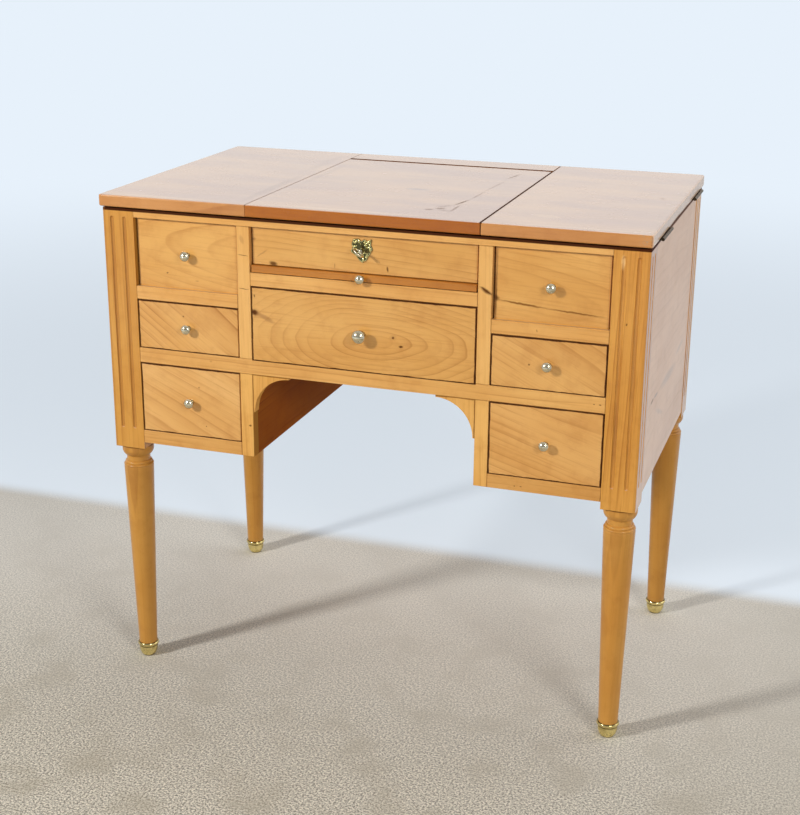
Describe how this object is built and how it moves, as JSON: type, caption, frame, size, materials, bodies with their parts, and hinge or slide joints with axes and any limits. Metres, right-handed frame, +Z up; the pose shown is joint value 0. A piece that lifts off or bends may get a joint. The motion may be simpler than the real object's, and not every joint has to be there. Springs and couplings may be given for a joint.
{
  "type": "dressing table",
  "caption": "Pale wood dressing table on turned legs, with a mirrored lid between two folding flaps, a writing slide, small drawers round a kneehole and brass fittings.",
  "frame": {"origin": "on the floor under the middle of the outline, knobs and hinges included", "axes": "+X to the right of a person facing the front, +Y to the back, +Z up"},
  "size_m": [0.7988, 0.4856, 0.74],
  "materials": {
    "maple": "polished pale wood",
    "inner_wood": "plain unpolished wood",
    "brass": "worn brass",
    "steel": "bright steel",
    "mirror": "silvered glass"
  },
  "bodies": {
    "carcass": {"front_left_post": "maple", "front_right_post": "maple", "back_left_post": "maple", "back_right_post": "maple", "sabots": "brass", "left_side_panel": "maple", "right_side_panel": "maple", "left_partition": "inner_wood", "right_partition": "inner_wood", "left_back_panel": "inner_wood", "centre_back_panel": "inner_wood", "right_back_panel": "inner_wood", "top_rail": "maple", "cross_rail": "maple", "slide_rail": "maple", "upper_side_rails": "maple", "bottom_rails": "maple", "upper_muntins": "maple", "lower_muntins": "maple", "spandrels": "maple", "false_fronts": "maple", "centre_fixed_front": "maple", "fixed_knobs": "brass", "side_well_floors": "inner_wood", "mirror_well_floor": "inner_wood", "drawer_bearers": "inner_wood", "drawer_guides": "inner_wood", "back_strip": "maple", "hinge_fixed_leaves": "brass", "hinge_pins": "brass", "lid_pivots": "brass", "case_screws": "brass", "escutcheon": "brass", "lock_case": "steel"},
    "left_flap": {"left_flap_board": "maple", "left_flap_leaves": "brass"},
    "right_flap": {"right_flap_board": "maple", "right_flap_leaves": "brass"},
    "lid": {"lid_board": "maple", "lid_mirror": "mirror", "mirror_beads": "maple"},
    "writing_slide": {"writing_slide_board": "maple", "writing_slide_knob": "brass"},
    "key": {"key": "steel"},
    "lock_bolt": {"lock_bolt": "steel"},
    "left_middle_drawer": {"left_middle_drawer_front": "maple", "left_middle_drawer_box": "inner_wood", "left_middle_drawer_knob": "brass"},
    "left_bottom_drawer": {"left_bottom_drawer_front": "maple", "left_bottom_drawer_box": "inner_wood", "left_bottom_drawer_knob": "brass"},
    "right_middle_drawer": {"right_middle_drawer_front": "maple", "right_middle_drawer_box": "inner_wood", "right_middle_drawer_knob": "brass"},
    "right_bottom_drawer": {"right_bottom_drawer_front": "maple", "right_bottom_drawer_box": "inner_wood", "right_bottom_drawer_knob": "brass"},
    "centre_drawer": {"centre_drawer_front": "maple", "centre_drawer_box": "inner_wood", "centre_drawer_knob": "brass"}
  },
  "joints": [
    {"name": "left_flap_hinge", "type": "hinge", "parent": "carcass", "child": "left_flap", "pos_m": [-0.3972, 0, 0.72175], "axis": [0, -1, 0], "range_deg": [0, 180]},
    {"name": "right_flap_hinge", "type": "hinge", "parent": "carcass", "child": "right_flap", "pos_m": [0.3972, 0, 0.72175], "axis": [0, 1, 0], "range_deg": [0, 180]},
    {"name": "lid_pivot", "type": "hinge", "parent": "carcass", "child": "lid", "pos_m": [0, 0.1813, 0.7315], "axis": [-1, 0, 0], "range_deg": [0, 95]},
    {"name": "writing_slide_run", "type": "slide", "parent": "carcass", "child": "writing_slide", "axis": [0, -1, 0], "range_m": [0, 0.25]},
    {"name": "key_turn", "type": "hinge", "parent": "carcass", "child": "key", "pos_m": [0, -0.2182, 0.687], "axis": [0, -1, 0], "range_deg": [-51, 129]},
    {"name": "lock_bolt_run", "type": "slide", "parent": "carcass", "child": "lock_bolt", "axis": [0, 0, 1], "range_m": [-0.00227, 0.00573]},
    {"name": "left_middle_drawer_run", "type": "slide", "parent": "carcass", "child": "left_middle_drawer", "axis": [0, -1, 0], "range_m": [0, 0.3]},
    {"name": "left_bottom_drawer_run", "type": "slide", "parent": "carcass", "child": "left_bottom_drawer", "axis": [0, -1, 0], "range_m": [0, 0.3]},
    {"name": "right_middle_drawer_run", "type": "slide", "parent": "carcass", "child": "right_middle_drawer", "axis": [0, -1, 0], "range_m": [0, 0.3]},
    {"name": "right_bottom_drawer_run", "type": "slide", "parent": "carcass", "child": "right_bottom_drawer", "axis": [0, -1, 0], "range_m": [0, 0.3]},
    {"name": "centre_drawer_run", "type": "slide", "parent": "carcass", "child": "centre_drawer", "axis": [0, -1, 0], "range_m": [0, 0.3]}
  ],
  "couplings": [
    {"joint": "key_turn", "follows": "lock_bolt_run", "rad_per_m": 392.7}
  ]
}
